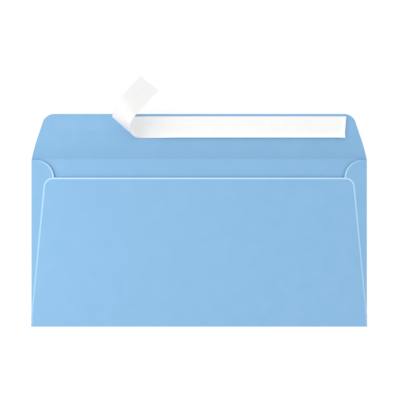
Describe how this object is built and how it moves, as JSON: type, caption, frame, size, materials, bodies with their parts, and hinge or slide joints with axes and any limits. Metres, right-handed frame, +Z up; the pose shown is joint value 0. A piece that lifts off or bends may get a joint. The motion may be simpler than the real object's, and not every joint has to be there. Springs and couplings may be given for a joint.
{
  "type": "paper envelope",
  "caption": "Long self-seal paper envelope, pocket side up with the flap open, its white release liner peeled back at one end to bare the adhesive line.",
  "frame": {"origin": "centre of the address panel's outer face, which lies on the table", "axes": "+X along the envelope's length, +Y from the bottom fold towards the open closure flap, +Z up, out of the pocket side"},
  "size_m": [0.22, 0.1564, 0.0344],
  "materials": {
    "blue_paper": "matte",
    "liner_paper": "satin",
    "seal_adhesive": "gloss",
    "dried_gum": "matte"
  },
  "bodies": {
    "root": {"envelope_sheet": "blue_paper", "seam_gum_left": "dried_gum", "seam_gum_right": "dried_gum", "adhesive_strip": "seal_adhesive", "release_liner": "liner_paper"}
  },
  "joints": []
}
